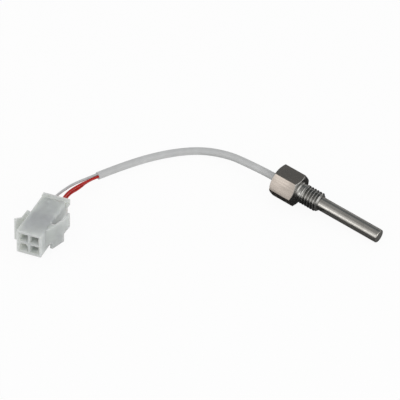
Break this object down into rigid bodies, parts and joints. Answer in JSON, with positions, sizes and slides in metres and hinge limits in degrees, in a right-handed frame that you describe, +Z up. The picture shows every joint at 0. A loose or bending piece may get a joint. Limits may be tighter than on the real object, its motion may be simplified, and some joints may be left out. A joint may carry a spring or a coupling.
{
  "type": "screw-in resistance temperature probe",
  "caption": "Steel hexagon fitting with a short thread and a closed round stem that senses temperature, on a short white cable whose leads end in a natural nylon panel plug.",
  "frame": {"origin": "middle of the lying probe, on the table, without its cable and plug", "axes": "+X along the table towards the closed tip of the stem, +Z up"},
  "size_m": [0.116, 0.0956, 0.0129],
  "materials": {
    "turned_steel": "turned stainless steel",
    "drawn_steel": "ground stainless steel tube",
    "filling": "cured heat-conducting filling",
    "sealing_resin": "cast resin",
    "ceramic": "fired ceramic",
    "nickel_wire": "drawn nickel wire",
    "sleeving": "braided glass sleeve",
    "cable_jacket": "extruded, smooth",
    "white_lead_insulation": "extruded, smooth",
    "red_lead_insulation": "extruded, smooth",
    "natural_nylon": "moulded, milky",
    "tinned_brass": "stamped and tinned"
  },
  "bodies": {
    "root": {"hex_fitting": "turned_steel", "probe_sheath": "drawn_steel", "thermal_compound": "filling", "rear_potting": "sealing_resin", "sensing_element": "ceramic", "cable_jacket": "cable_jacket", "white_wire": "white_lead_insulation", "red_wire_1": "red_lead_insulation", "red_wire_2": "red_lead_insulation", "probe_wire_white": "white_lead_insulation", "probe_wire_red_1": "red_lead_insulation", "probe_wire_red_2": "red_lead_insulation", "plug_housing": "natural_nylon", "contact_white": "tinned_brass", "contact_red_1": "tinned_brass", "contact_red_2": "tinned_brass", "element_lead_red": "nickel_wire", "lead_sleeve_red": "sleeving", "splice_red": "tinned_brass", "splice_sleeve_red": "sleeving", "element_lead_white": "nickel_wire", "lead_sleeve_white": "sleeving", "splice_white": "tinned_brass", "splice_sleeve_white": "sleeving"}
  },
  "joints": []
}
